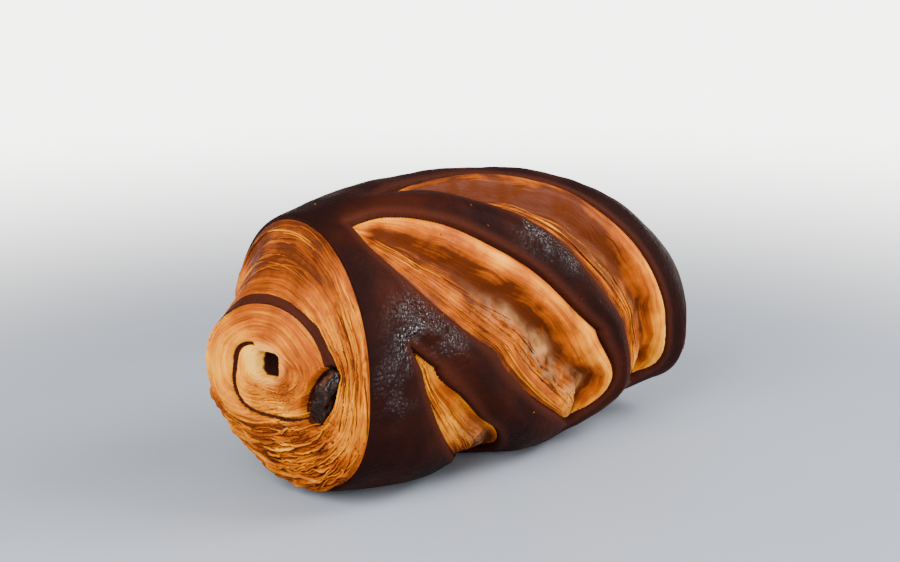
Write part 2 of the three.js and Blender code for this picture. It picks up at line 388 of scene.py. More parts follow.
def crustMaterial():   # golden layered dough and cocoa skin, told apart by the piece's own attributes
    look = crustLook
    sheet = Sheet("bakedCrust")
    where = sheet.place()
    cocoa, tone = sheet.attribute("cocoa"), sheet.attribute("tone")
    gap, clear = sheet.attribute("gap"), sheet.attribute("clear")
    layer, run, rub = sheet.attribute("layer"), sheet.attribute("run"), sheet.attribute("rub")

    coarse = sheet.noise(where, look["coarse"], 4.0)
    fine = sheet.noise(where, look["fine"], 3.0)
    streakPlace = sheet.vector(layer * 1.5, run * 0.045, coarse * 0.4)
    streak = sheet.noise(streakPlace, 1.0, 4.0, 0.62)
    thread = sheet.noise(sheet.vector(layer * 5.0, run * 0.10, coarse * 0.5), 1.0, 3.0, 0.6)
    depth = tone + (streak - 0.5) * 0.9 + (coarse - 0.5) * 0.9 + (thread - 0.5) * 0.36
    dough = sheet.node("ShaderNodeValToRGB", {"stops": [
        (0.0, look["pale"]), (0.34, look["gold"]), (0.62, look["amber"]), (0.95, look["brown"])]}, depth)
    dough = sheet.mix(clear * 0.55, dough, look["clear"])
    # painted shade: gap darkens the dough toward this shade colour in creases, notches, torn hollows and
    # along leaf roots
    dough = sheet.mix(gap.between(0.15, 0.95), dough, look["creviceShade"])
    doughBump = sheet.bump(streak + thread * 0.6 + fine * 0.25, 0.5, 0.0006)
    doughSkin = sheet.node("ShaderNodeBsdfPrincipled", None, **{
        "Base Color": dough,
        "Roughness": look["doughRough"] - clear * 0.34 - coarse.between(0.45, 0.7) * 0.16,
        "Normal": doughBump, "Specular IOR Level": 0.06, "Coat Weight": 0.03, "Coat Roughness": 0.2,
        "Subsurface Weight": 0.12, "Subsurface Radius": (0.004, 0.0018, 0.0007), "Subsurface Scale": 0.5})

    blister = sheet.node("ShaderNodeTexVoronoi", {"feature": "F1"},
                         Vector=where, Scale=look["blister"], output="Distance")
    patch = sheet.noise(where, look["patch"], 3.0)
    blistered = patch.between(0.36, 0.56) * sheet.attribute("gloss").between(0.0, 1.0)
    warm = sheet.noise(where, look["warm"], 3.0)
    cocoaColour = sheet.mix(warm.between(0.4, 0.72) * 0.75, look["cocoa"], look["cocoaWarm"])
    # painted sheen: the skin's cocoa is lightened along its rounded cut edges; on the coils this is the
    # paler cocoa of their cut ends
    cocoaColour = sheet.mix(rub * 0.55, cocoaColour, look["cocoaSheenAndEnds"])
    relief = (0.5 - blister) * (0.25 + blistered * 1.2) + coarse * 0.5 + fine * 0.35
    dullSkin = sheet.node("ShaderNodeBsdfPrincipled", None, **{
        "Base Color": cocoaColour, "Roughness": look["dullRough"] + (fine - 0.5) * 0.25,
        "Normal": sheet.bump(relief, 0.55, 0.0006), "IOR": 1.3, "Specular IOR Level": 0.035})
    glossySkin = sheet.node("ShaderNodeBsdfPrincipled", None, **{
        "Base Color": cocoaColour, "Roughness": look["glossyRough"],
        "Normal": sheet.bump(relief, 0.9, 0.0007), "IOR": 1.5, "Specular IOR Level": 0.5})
    cocoaSkin = sheet.node("ShaderNodeMixShader", None, blistered * (1 - rub), dullSkin, glossySkin)
    blend = (cocoa + (fine - 0.5) * 0.35).between(0.42, 0.58)
    surface = sheet.node("ShaderNodeMixShader", None, blend, doughSkin, cocoaSkin)
    return sheet.finish(surface)


chocolateLook = {"dark": (0.007, 0.0028, 0.0022), "dusty": (0.060, 0.020, 0.009), "rough": 0.2,
                 "broad": 420.0, "fine": 1700.0}


def chocolateMaterial():
    look = chocolateLook
    sheet = Sheet("setChocolate")
    where = sheet.place()
    broad, fine = sheet.noise(where, look["broad"], 3.0), sheet.noise(where, look["fine"], 2.0)
    colour = sheet.mix(broad.between(0.5, 0.75), look["dark"], look["dusty"])
    surface = sheet.node("ShaderNodeBsdfPrincipled", None, **{
        "Base Color": colour, "Roughness": look["rough"] + broad.between(0.5, 0.72) * 0.3,
        "Normal": sheet.bump(broad + fine * 0.4, 0.6, 0.0007), "Specular IOR Level": 0.08,
        "Coat Weight": 0.14, "Coat Roughness": 0.08})
    return sheet.finish(surface)


crust, chocolate = crustMaterial(), chocolateMaterial()


skin = {   # the cocoa skin: the edge tables say how its cut edge turns in and drops
    "thickness": 1.7, "puff": 1.3, "puffReach": 3.4, "wave": 0.28, "ripple": 0.12,
    "edgePlace": [-1.2, -0.75, -0.37, -0.02, 0.02, 0.37, 0.8, 1.6],
    "edgeTurn": [-1.2, -0.6, -0.07, -0.03, 0.03, 0.12, 0.6, 1.6],
    "edgeDrop": [-1.7, -1.7, -1.7, -1.55, -0.48, -0.28, -0.06, 0.0],
    "rimReach": (1.5, 0.2), "rimEase": 0.55,
    "stepAlong": 0.37, "degrees": [(-168, 8, 0.8), (8, 136, 0.95), (136, 192, 2.8)],   # from, to, step
    "tuck": [(0.965, 0.1), (0.9, 1.6), (0.5, 3.0)],   # rings that close an end: share of its edge, depth
    "shine": [(-34, -73, 5.2, 1.0), (-26, -72, 5.0, 0.95), (-38, -88, 6.0, 0.4), (1, -44, 5.0, 0.9),
              (9, -55, 4.5, 0.85), (-20, 20, 9.0, 0.16), (8, 90, 9.0, 0.16), (20, 10, 10.0, 0.16)],
}
valley = {   # a score from its low edge to its high edge: height over the skin's underside, and browning with painted shade and a painted highlight
    "place": [0.0, 0.1, 0.22, 0.34, 0.42, 0.49, 0.55, 0.61, 0.70, 0.85, 1.0],
    "level": [0.5, -0.2, -1.2, -2.1, -2.8, -3.1, -2.4, -0.9, 0.8, 1.6, 0.9],
    # tone: partly browning, darkest at the valley floor as painted shade and palest on the lip's crest as a
    # painted highlight
    "tone": [0.90, 0.79, 0.73, 0.84, 0.92, 1.0, 1.0, 0.88, 0.62, 0.50, 0.72],
    "floorAt": 0.51, "fullWidth": 16.0, "fullDepth": 5.4, "layers": 12, "ridge": 0.15, "waver": 0.055,
    "lump": 0.55, "notch": 2.0, "notchAt": 0.62, "wideLip": 0.7, "lipGrowth": 0.14,
}


def shineAt(u, v):   # where the skin blistered: x, degrees, reach and strength of each spot
    total = 0 * u
    for x, degrees, reach, strength in skin["shine"]:
        gap = np.hypot(u - x, v - degrees * mmPerDegree) / reach
        total = np.maximum(total, strength * np.exp(-gap ** 2))
    return total


def withRims(u, edge, toSkin):   # the skin also ends at the roll's two rims
    for rim, side in ((roll["nearRim"], 1), (roll["farRim"], -1)):
        gap = side * (u - rim)
        use = gap < np.abs(edge)
        edge = np.where(use, gap, edge)
        toSkin = np.where(use[..., None], np.array([side, 0.0]), toSkin)
    return edge, toSkin


def skinLevel(u, base, edge, scoreEdge):
    puff = -skin["puff"] * np.exp(-(np.maximum(scoreEdge, 0) / skin["puffReach"]) ** 2)
    atRim = smooth(*skin["rimReach"], np.minimum(u - roll["nearRim"], roll["farRim"] - u))
    drop = np.interp(edge, skin["edgePlace"], skin["edgeDrop"]) * (1 - skin["rimEase"] * atRim)
    waves = skin["wave"] * noise(base, 10, 3) + skin["ripple"] * noise(base, 4, 4)
    return puff + drop + waves * smooth(0.3, 3, edge)


def acrossScore(field, base):   # share of the way over a score, its floor moved to where the lip starts
    across, floorAt = field["across"], valley["floorAt"]
    narrow = field["lip"] < valley["wideLip"]
    lip = field["lip"] + valley["lipGrowth"] * smooth(0.5, 0.9, field["share"]) * narrow
    turned = np.where(across < lip, across * floorAt / np.maximum(lip, 0.1),
                      floorAt + (across - lip) * (1 - floorAt) / np.maximum(1 - lip, 0.1))
    middle = np.sin(np.pi * np.clip(turned, 0, 1))
    return np.clip(turned + valley["waver"] * middle * noise(base, 5.5, 7), 0, 1), middle, narrow


def doughInScore(field, base, edge):   # level and looks of the dough between a score's edges
    across, share, darker = field["across"], field["share"], field["darker"]
    widthShare = np.clip(field["width"] / valley["fullWidth"], 0, 1)
    turned, middle, narrow = acrossScore(field, base)
    layer = across * valley["layers"] + 0.3 * noise(base, 6, 8)
    slope = smooth(0.0, 0.08, turned) * smooth(0.52, 0.34, turned)
    ridges, crease = strata(layer, field["along"], 5)
    ridges = ridges * valley["ridge"] * (slope + 0.3 * smooth(0.8, 0.97, turned)) * (0.3 + 0.7 * widthShare)

    bed = smooth(0.16, 0.28, turned) * smooth(0.54, 0.42, turned) * smooth(0.3, 0.6, share)
    bed = bed * (1 - 2 * np.maximum(darker, 0))
    lumps = bed * (0.55 + 0.6 * noise(base, 4.2, 9) + 0.45 * noise(base, 1.9, 13))
    bubbles = bed * (1 - np.abs(noise(base, 2.6, 15)) * 2.2)
    notch = smooth(0.84, 0.94, share) * np.exp(-((across - valley["notchAt"]) / 0.13) ** 2) * narrow

    profile = softTable(turned, valley["place"], valley["level"])
    level = -skin["puff"] - skin["thickness"]
    level = level + profile * field["depth"] / valley["fullDepth"] * widthShare ** 0.8
    level += ridges + valley["lump"] * (lumps + 0.5 * bubbles)
    level += (0.12 * noise(base, 2.2, 10) + 0.3 * noise(base, 9, 12)) * middle
    level -= valley["notch"] * notch * smooth(-0.6, -1.6, edge)

    # the tone table paints shade into the valley floor and a highlight onto the lip
    tone = softTable(turned, valley["place"], valley["tone"]) - 0.22 * smooth(0.6, 1.0, share)
    # darker browns the third score and paints the first one paler, as painted light
    tone = tone + darker * (1 - 1.3 * smooth(0.45, 0.8, share)) + 0.12 * noise(base, 8, 14)
    tone = tone - (tone - 0.42) * smooth(0.55, 0.15, widthShare)
    # painted shade: gap darkens the creases between layered ridges and the notch near the toe
    looks = {"tone": tone, "gap": np.maximum(0.6 * crease * slope, 0.85 * notch),
             "clear": np.clip(lumps, 0, 1.1), "layer": layer, "run": field["along"]}
    return level, looks


def rollSurface(u, v):
    field = scoreField(u, v)
    scoreEdge = field["edge"]
    edge, toSkin = withRims(u, scoreEdge, field["toSkin"])
    places = skin["edgePlace"]
    turn = np.interp(edge, places, skin["edgeTurn"]) - np.clip(edge, places[0], places[-1])
    u2, v2 = u + toSkin[..., 0] * turn, v + toSkin[..., 1] * turn
    angle = np.radians(v2 / mmPerDegree)
    base, normal = sectionPoint(u2, angle), sectionNormal(u2, angle)

    doughLevel, looks = doughInScore(field, base, edge)
    inside = smooth(-0.35, -1.15, edge)
    height = skinLevel(u, base, edge, scoreEdge) * (1 - inside) + doughLevel * inside
    points = base + normal * height[..., None]
    z = points[..., 2]
    points[..., 2] = 0.5 * (z + np.sqrt(z * z + 0.09))   # nothing sinks into what it rests on
    looks["cocoa"] = smooth(-0.62, -0.3, edge)
    # painted sheen along the skin's rounded cut edges
    looks["rub"] = smooth(-0.3, 0.2, edge) * smooth(2.2, 0.6, scoreEdge)
    looks["gloss"] = shineAt(u, v)
    return points, looks


def makeRoll():
    length = roll["farRim"] - roll["nearRim"]
    x = np.linspace(roll["nearRim"], roll["farRim"], int(length / skin["stepAlong"]) + 1)
    degrees = np.concatenate([np.linspace(start, stop, round((stop - start) / step), endpoint=False)
                              for start, stop, step in skin["degrees"]])
    degrees = (degrees + 180) % 360 - 180
    u, a = np.meshgrid(x, degrees, indexing="ij")
    points, looks = rollSurface(u, a * mmPerDegree)
    rings = list(points)
    values = {key: list(value) for key, value in looks.items()}
    for at, inwards in ((0, 1), (-1, -1)):   # close each end just inside the skin's edge
        edgeRing = rings[at]
        middle = edgeRing.mean(0)
        for share, depth in skin["tuck"]:
            ring = middle + (edgeRing - middle) * share + np.array([inwards * depth, 0, 0])
            rings.insert(0, ring) if at == 0 else rings.append(ring)
            for key, value in values.items():
                copy = value[at] * (1.0 if share > 0.9 else 0.0)
                value.insert(0, copy) if at == 0 else value.append(copy)
    poles = [rings[k].mean(0) for k in (0, -1)]
    ends = {key: (0, value, 0) for key, value in values.items()}
    return makePiece("pastry_roll", rings, *poles, ends, crust)


spiral = {   # the skin's line from the heart outwards: degrees turned, then radius
    "turned": [0, 33, 80, 98, 118, 155, 191, 243, 278, 314, 345, 375, 403, 431],
    "radius": [4.1, 5.8, 7.1, 8.6, 9.9, 10.4, 12.0, 12.4, 11.0, 11.1, 11.6, 12.1, 12.3, 12.6],
    "heartAt": 331,
}
coilRim = {   # outer line of the coil: degrees turned, radius, half width of the cocoa band there
    "turned": [0, 30, 71, 100, 130, 155, 191, 220, 243, 262, 290, 330],
    "radius": [11.9, 12.2, 12.8, 13.4, 12.5, 11.0, 12.0, 12.6, 12.2, 11.2, 10.9, 11.3],
    "band": [0.9, 0.6, 0.1, 0.05, 0.05, 0.05, 0.05, 1.2, 2.0, 1.5, 1.05, 0.95],
}
coilEnds = {
    "pastry_near_coil": {
        "side": -1, "rim": "nearRim", "centre": (-1.1, 27.6), "size": 1.0, "rise": 7.5, "lean": 0.4,
        "dome": 1.2, "bulge": 0.5, "angles": 420, "steps": 150, "seed": 20},
    "pastry_far_coil": {
        "side": 1, "rim": "farRim", "centre": (0.0, 22.5), "size": 0.82, "rise": 5.4, "lean": 0.06,
        "dome": 1.2, "bulge": 0.0, "angles": 360, "steps": 110, "seed": 50},
}
coilShape = {
    "skinEdge": 0.75, "wrapLayers": 17, "layerGap": 0.75, "groove": 0.8, "ring": 1.3, "line": 0.8,
    "bandOut": 0.6, "rimStep": 0.7, "heart": 3.6, "pocket": 2.6,
    "tuck": [(0.985, 1.5), (0.6, 3.5)], "back": 4.0,   # rings that close the back: share of its edge, depth
}
coilSurface = {}   # each coil's finished grid, for the leaves that grow on it


def pick(values, *keys):
    return [values[key] for key in keys]


def coilGrid(end):   # polar grid over a coil, from its middle out to the skin's edge
    side, size = end["side"], end["size"]
    centreY, centreZ = end["centre"]
    outline = sectionPoint(np.full(1441, roll[end["rim"]]), np.linspace(-np.pi, np.pi, 1441))
    fromY, fromZ = outline[:, 1] - centreY, outline[:, 2] - centreZ
    outlineAngle = np.arctan2(side * fromY, fromZ)
    order = np.argsort(outlineAngle)
    psi = np.linspace(0, 2 * np.pi, end["angles"], endpoint=False)
    reach = np.interp(psi, outlineAngle[order], np.hypot(fromY, fromZ)[order], period=2 * np.pi)
    reach = reach - coilShape["skinEdge"]
    share = np.linspace(0, 1, end["steps"] + 1)[1:, None]
    r = share * reach
    psi, reach = psi[None, :] + 0 * r, reach[None, :] + 0 * r
    sin, cos = np.sin(psi), np.cos(psi)
    y, z = centreY + side * r * sin, centreZ + r * cos
    turned = (spiral["heartAt"] - np.degrees(psi)) % 360
    edge = size * softTable(turned, coilRim["turned"], coilRim["radius"], 360)
    return {
        "r": r, "share": share, "reach": reach, "sin": sin, "cos": cos, "y": y, "z": z,
        "place": np.stack([0 * r, y, z], -1), "degrees": np.degrees(psi), "turned": turned, "edge": edge,
        "band": size * softTable(turned, coilRim["turned"], coilRim["band"], 360),
        "innerLine": size * softTable(turned, spiral["turned"], spiral["radius"]),
        "inwards": np.clip((reach - r) / (reach - edge), 0, 1),
    }


def coilForm(grid, end):   # the wrap climbs from the rim, and the coil stands inside it
    r, edge, degrees, inwards = pick(grid, "r", "edge", "degrees", "inwards")
    lean = end["lean"] * end["side"] * grid["sin"]
    bulge = end["bulge"] * smooth(125, 165, degrees) * smooth(275, 225, degrees)   # underneath
    hollow = 0.25 * inwards + 0.75 * inwards ** 2
    wrap = (end["rise"] + lean * edge) * (hollow + bulge * (1 - (1 - inwards) ** 3.2 - hollow))
    wrap = wrap + coilShape["rimStep"] * smooth(0, 0.08, inwards)
    coil = end["rise"] + lean * r + end["dome"] * (1 - (r / edge) ** 2)
    return np.where(r < edge, coil, wrap)


def coilLines(grid, size):   # the cocoa band round the coil, the plump ring in it and the line inside that
    r, edge, band, innerLine, turned = pick(grid, "r", "edge", "band", "innerLine", "turned")
    fromBand = r - (edge + coilShape["bandOut"] * size)
    inBand = np.exp(-(fromBand / (band + 0.35)) ** 2) * smooth(0.3, 0.8, band)
    ringShare = np.clip((r - innerLine) / np.maximum(edge - innerLine, 0.5), 0, 1)
    ring = (1 - (2 * ringShare - 1) ** 2) * smooth(-5, 35, turned) * smooth(190, 120, turned)
    lineHere = smooth(-2, 10, turned) * smooth(225, 195, turned)
    onLine = np.exp(-((r - innerLine) / (0.5 * size)) ** 2) * lineHere
    relief = coilShape["ring"] * ring - coilShape["groove"] * inBand - coilShape["line"] * onLine
    return relief, onLine, lineHere, fromBand


def coilLayers(grid, seed):   # the folds of the dough's layers, loose in the wrap and tight in the coil
    r, edge, band, place, degrees, inwards = pick(grid, "r", "edge", "band", "place", "degrees", "inwards")
    bottom = smooth(125, 160, degrees) * smooth(262, 235, degrees)
    right = smooth(20, 60, degrees) * smooth(160, 130, degrees)
    warp, fineWarp = noise(place, 7.0, seed), noise(place, 2.6, seed + 1)
    inWrap = smooth(-0.3, 1.2, r - edge - band)
    run = np.radians((degrees + 180) % 360) * 14.0
    wrapLayer = coilShape["wrapLayers"] * (1 - inwards) + 0.5 * warp + (0.25 + 0.6 * bottom) * fineWarp
    coilLayer = (edge - r) / coilShape["layerGap"] + 0.4 * warp + 0.2 * fineWarp
    layer = np.where(inWrap > 0.5, wrapLayer, coilLayer + 40)
    folds, crease = strata(layer, run * (1 + 0.8 * bottom), seed)
    core = smooth(60, 110, degrees) * smooth(250, 190, degrees) * smooth(3.0, 6.0, r) * (1 - inWrap)
    strength = inWrap * (0.20 + 0.16 * right + 0.55 * bottom) + core * 0.3 + 0.10 * (1 - inWrap)
    patchy = smooth(-0.6, 0.4, noise(place, 4.5, seed + 2))
    relief = strength * folds * (0.45 + 0.75 * patchy)
    relief += 0.16 * noise(place, 3.0, seed + 3) + 0.4 * noise(place, 11.0, seed + 4)
    # painted shade in the creases where the layers part
    partedShade = crease * (0.35 + 0.65 * patchy) * np.clip(strength * 2.2, 0, 1)
    return relief, {"bottom": bottom, "right": right, "core": core, "warp": warp, "fineWarp": fineWarp,
                    "inWrap": inWrap, "partedShade": partedShade, "layer": layer, "run": run}


def heartAndPocket(grid, end, fineWarp):   # the torn hole in the middle, and where the outer baton lies
    r, size = grid["r"], end["size"]
    hole = (np.abs(r * grid["sin"] - 0.5 * size) ** 4 + np.abs(r * grid["cos"]) ** 4) ** 0.25
    heart = smooth(2.7, 2.1, hole / size ** 0.5 + 0.25 * fineWarp)
    bar = baton["outer"]
    batonY, batonZ = grid["y"] - bar[end["rim"]][0], grid["z"] - bar[end["rim"]][1]
    across = batonY * math.cos(bar["turn"]) + batonZ * math.sin(bar["turn"])
    up = -batonY * math.sin(bar["turn"]) + batonZ * math.cos(bar["turn"])
    oval = ((np.abs(across) / bar["half"][0]) ** 2.5 + (np.abs(up) / bar["half"][1]) ** 2.5) ** 0.4
    return heart, smooth(1.2, 0.96, oval)


def coilTone(grid, folds):   # how brown each side of the coil is drawn, partly browning and partly painted light
    degrees, r = grid["degrees"], grid["r"]
    bottom, right, core, inWrap = pick(folds, "bottom", "right", "core", "inWrap")
    top = smooth(60, 20, degrees) + smooth(290, 330, degrees)
    left = smooth(215, 250, degrees) * smooth(335, 300, degrees)
    rimTop = top * smooth(0.2, 0.6, 1 - grid["inwards"])
    wrap = 0.60 + 0.20 * top + 0.12 * rimTop + 0.2 * bottom - 0.1 * right
    # the coil's left ring is painted paler, a painted highlight
    coil = 0.50 + 0.14 * np.clip(top + right, 0, 1) - 0.08 * core - 0.20 * left - 0.34 * smooth(5, 3, r)
    return inWrap * wrap + (1 - inWrap) * coil + 0.14 * folds["warp"]


def closeBack(rings, values, end):   # tuck the coil's edge under the skin and close it behind
    centreY, centreZ = end["centre"]
    edgeRing, edgeValues = rings[-1], {key: value[-1] for key, value in values.items()}
    for share, depth in coilShape["tuck"]:
        ring = edgeRing.copy()
        ring[:, 1] = centreY + (ring[:, 1] - centreY) * share
        ring[:, 2] = centreZ + (ring[:, 2] - centreZ) * share
        ring[:, 0] = roll[end["rim"]] - end["side"] * depth
        rings.append(ring)
        for key, value in values.items():
            value.append(edgeValues[key])


def makeCoil(name, end):
    side, size, rimX = end["side"], end["size"], roll[end["rim"]]
    centreY, centreZ = end["centre"]
    grid = coilGrid(end)
    r = grid["r"]
    lineRelief, onLine, lineHere, fromBand = coilLines(grid, size)
    foldRelief, folds = coilLayers(grid, end["seed"])
    heart, pocket = heartAndPocket(grid, end, folds["fineWarp"])
    height = coilForm(grid, end) + lineRelief + foldRelief
    height -= coilShape["heart"] * heart + coilShape["pocket"] * pocket
    points = np.stack([rimX + side * height * smooth(1.0, 0.975, grid["share"]), grid["y"], grid["z"]], -1)

    band = grid["band"]
    bandMask = smooth(1.1, 0.8, np.abs(fromBand) / np.maximum(band, 0.05)) * smooth(0.3, 0.7, band)
    lineWidth = size * (0.2 + 0.22 * smooth(130, 80, grid["turned"]) + 0.08 * folds["warp"])
    lineMask = smooth(1.3, 0.8, np.abs(r - grid["innerLine"]) / lineWidth) * lineHere
    torn = noise(grid["place"] * np.array([1, 0.5, 1.6]), 2.2, end["seed"] + 6)
    # painted shade in torn hollows on the wrap's underside
    hollowShade = folds["bottom"] * folds["inWrap"] * smooth(-0.1, 0.5, torn)
    looks = {
        "cocoa": np.maximum.reduce([bandMask, lineMask, heart, smooth(0.3, 0.8, pocket)]),
        # painted shade: gap darkens parted layers, the inner line's groove and the torn hollows
        "tone": coilTone(grid, folds), "gap": np.maximum(folds["partedShade"] + 0.5 * onLine, 0.75 * hollowShade),
        "clear": smooth(5.0, 3.0, r) * (1 - heart) * 0.6, "layer": folds["layer"], "run": folds["run"],
        # on the coils this marks the paler cocoa of the cut ends
        "rub": 1.0 - heart,
    }
    coilSurface[name] = {"grid": points.copy(), "reach": grid["reach"][0], "edge": grid["edge"][0], **end}
    rings = list(points)
    values = {key: list(value) for key, value in looks.items()}
    closeBack(rings, values, end)
    front = np.array([rings[0][:, 0].mean(), centreY, centreZ])
    back = np.array([rimX - side * coilShape["back"], centreY, centreZ])
    ends = {key: (value[0].mean(), value, value[-1].mean()) for key, value in values.items()}
    return makePiece(name, rings, front, back, ends, crust)


baton = {
    "outer": {"nearRim": (-11.3, 22.4), "farRim": (-7.4, 18.1), "half": (2.45, 6.0), "turn": 0.43,
              "ends": (-48.9, 52.0), "seed": 70},
    "centre": {"nearRim": (-1.1, 27.6), "farRim": (0.0, 22.5), "half": (1.9, 2.1), "turn": 0.0,
               "ends": (-50.2, 51.6), "seed": 80},
}
batonEnd = {"reach": 3.0, "rings": 26, "middleRings": 40, "around": 96, "square": 0.75, "lump": 0.75}


def makeBaton(name, bar):
    (fromY, fromZ), (toY, toZ) = bar["nearRim"], bar["farRim"]
    start, stop = bar["ends"]
    reach = batonEnd["reach"]
    dense = np.linspace(0, 1, batonEnd["rings"]) ** 1.5 * reach
    shank = np.linspace(start + reach + 1, stop - reach - 1, batonEnd["middleRings"])
    x = np.concatenate([start + dense, shank, stop - dense[::-1]])
    angle = np.linspace(0, 2 * np.pi, batonEnd["around"], endpoint=False)
    x, angle = np.meshgrid(x, angle, indexing="ij")
    fromEnd = np.minimum(x - start, stop - x)
    swell = np.clip(1 - (1 - np.clip(fromEnd / reach, 0, 1)) ** 2.6, 0.0004, 1) ** 0.5
    t = (x - start) / (stop - start)
    across = bar["half"][0] * signedPower(np.sin(angle), batonEnd["square"]) * swell
    up = bar["half"][1] * signedPower(np.cos(angle), batonEnd["square"]) * swell
    turn = bar["turn"]
    y = fromY + (toY - fromY) * t + across * math.cos(turn) - up * math.sin(turn)
    z = fromZ + (toZ - fromZ) * t + across * math.sin(turn) + up * math.cos(turn)
    points = np.stack([x, y, z], -1)
    nearEnd = smooth(6, 1, fromEnd)
    lump = roughNoise(points, 3.2, 3, bar["seed"]) * batonEnd["lump"] * nearEnd
    endways = np.sign(x - (start + stop) / 2) * nearEnd
    outward = np.stack([endways, np.sin(angle) * swell, np.cos(angle) * swell], -1)
    points = points + outward * lump[..., None]
    poles = [points[k].mean(0) for k in (0, -1)]
    return makePiece(name, list(points), *poles, {}, chocolate)


# leaves are thin torn sheets of dough that grow along guide lines
leafLook = {"Points": 22, "Thickness": 0.00015, "Ragged": 0.45, "Seed": 4}
coilLeaves = [   # beds of leaves on the near coil: degrees round it, share of the way in, sizes in mm
    {"count": 150, "from": 126, "to": 252, "inwards": (0.02, 0.97), "span": (13, 44), "width": (0.5, 1.35),
     "outward": (-0.3, 1.3), "tone": (0.45, 0.9)},
    {"count": 44, "from": 35, "to": 135, "inwards": (0.03, 0.9), "span": (24, 60), "width": (0.25, 0.6),
     "outward": (-2.2, 2.2), "tone": (0.4, 0.85)},
    {"count": 18, "from": -60, "to": 40, "inwards": (0.05, 0.7), "span": (20, 50), "width": (0.2, 0.5),
     "outward": (-2.5, 2.5), "tone": (0.5, 0.85)},
    {"count": 7, "from": 60, "to": 225, "core": (0.42, 0.93), "span": (20, 60), "width": (0.1, 0.26),
     "outward": (-2.5, 2.5), "tone": (0.0, 0.5)},
]
scoreLeaves = [24, 30, 22, 18, 12, 8]   # how many in each score
leafRandom = np.random.RandomState(23)


def leafTree():
    sheet = Sheet("flakyLeaves", geometry=True)
    sheet.sockets({"Guides": "Geometry", "Points": "Int", "Thickness": "Float", "Ragged": "Float",
                   "Seed": "Int"}, "Leaves")
    given = sheet.given
    curve = sheet.node("GeometryNodeMeshToCurve", None, Mesh=given("Guides"))
    curve = sheet.node("GeometryNodeResampleCurve", None, Curve=curve, Count=given("Points"))
    line = sheet.node("GeometryNodeCurveToMesh", None, Curve=curve)
    lean = sheet.node("GeometryNodeInputNamedAttribute", {"data_type": "FLOAT_VECTOR"}, "lean")
    strip = sheet.node("GeometryNodeExtrudeMesh", {"mode": "EDGES"}, Mesh=line, Offset=lean)
    free = Wire(sheet, strip.socket.node.outputs["Top"])
    tear = sheet.node("ShaderNodeTexNoise", {"noise_dimensions": "4D"},
                      W=given("Seed"), Scale=900.0, Detail=2.0)
    shift = sheet.node("ShaderNodeVectorMath", {"operation": "SCALE"}, lean,
                       Scale=(tear - 0.5) * given("Ragged") * free)
    strip = sheet.node("GeometryNodeSetPosition", None, Geometry=strip, Offset=shift)
    # painted shade: each leaf is darker toward the line it grows from
    strip = sheet.node("GeometryNodeStoreNamedAttribute", {"data_type": "FLOAT", "domain": "POINT"},
                       Geometry=strip, Name="gap", Value=(1 - free) * 0.75)
    front = sheet.node("GeometryNodeExtrudeMesh", {"mode": "FACES"}, Mesh=strip, Individual=False,
                       **{"Offset Scale": given("Thickness")})
    back = sheet.node("GeometryNodeFlipFaces", None, Mesh=strip)
    both = sheet.node("GeometryNodeJoinGeometry", None, front)
    sheet.tree.links.new(back.socket, both.socket.node.inputs[0])
    closed = sheet.node("GeometryNodeMergeByDistance", None, Geometry=both, Distance=0.000003)
    whole = sheet.node("GeometryNodeRealizeInstances", None, Geometry=closed)
    dressed = sheet.node("GeometryNodeSetMaterial", None, Geometry=whole, Material=crust)
    sheet.node("NodeGroupOutput", None, Leaves=dressed)
    return sheet.tree


def unit(vectors):
    return vectors / (np.linalg.norm(vectors, axis=-1)[..., None] + 1e-9)


def gridAt(grid, row, column):   # a point on a surface grid, between its rows and round its columns
    low = np.clip(np.floor(row).astype(int), 0, len(grid) - 2)
    left = np.floor(column).astype(int)
    up, across = (row - low)[:, None], (column - left)[:, None]
    a, b = left % grid.shape[1], (left + 1) % grid.shape[1]
    return ((grid[low, a] * (1 - across) + grid[low, b] * across) * (1 - up)
            + (grid[low + 1, a] * (1 - across) + grid[low + 1, b] * across) * up)


def leafGuide(points, lean, width, tone, layer, sink=0.12):
    t = np.linspace(0, 1, len(points))
    size = width * np.maximum(np.sin(np.pi * t) ** 0.6, 0.05)
    length = np.linalg.norm(np.diff(points, axis=0), axis=1).sum()
    return {"points": points - unit(lean) * sink, "lean": unit(lean) * size[:, None],
            "tone": tone, "layer": layer, "run": t * length}


def coilGuides(surface):
    guides, grid, side = [], surface["grid"], surface["side"]
    middle = np.array([0, *surface["centre"]])
    columns = grid.shape[1]
    for bed in coilLeaves:
        for _ in range(bed["count"]):
            span, width, outward, tone = (
                leafRandom.uniform(*bed[key]) for key in ("span", "width", "outward", "tone"))
            first = leafRandom.uniform(bed["from"], bed["to"] - span)
            column = (first + np.linspace(0, span, 14)) / 360 * columns
            reach, edge = (np.interp(column % columns, np.arange(columns), surface[key], period=columns)
                           for key in ("reach", "edge"))
            drift = leafRandom.normal() * 0.04 * np.linspace(-1, 1, 14)
            if "core" in bed:
                r = edge * (leafRandom.uniform(*bed["core"]) + drift)
            else:
                inwards = np.clip(leafRandom.uniform(*bed["inwards"]) + drift, 0.02, 0.98)
                r = reach - (reach - edge - 0.8) * inwards
            row = r / reach * surface["steps"] - 1
            points = gridAt(grid, row, column)
            along = gridAt(grid, row, column + 1) - gridAt(grid, row, column - 1)
            outwards = gridAt(grid, row + 1, column) - gridAt(grid, row - 1, column)
            normal = unit(np.cross(along, outwards))
            normal *= np.sign(normal[:, :1]) * side
            radial = unit((points - middle) * np.array([0, 1, 1]))
            lean = normal + radial * outward
            guides.append(leafGuide(points, lean, width, tone, leafRandom.uniform(0, 40)))
    return guides


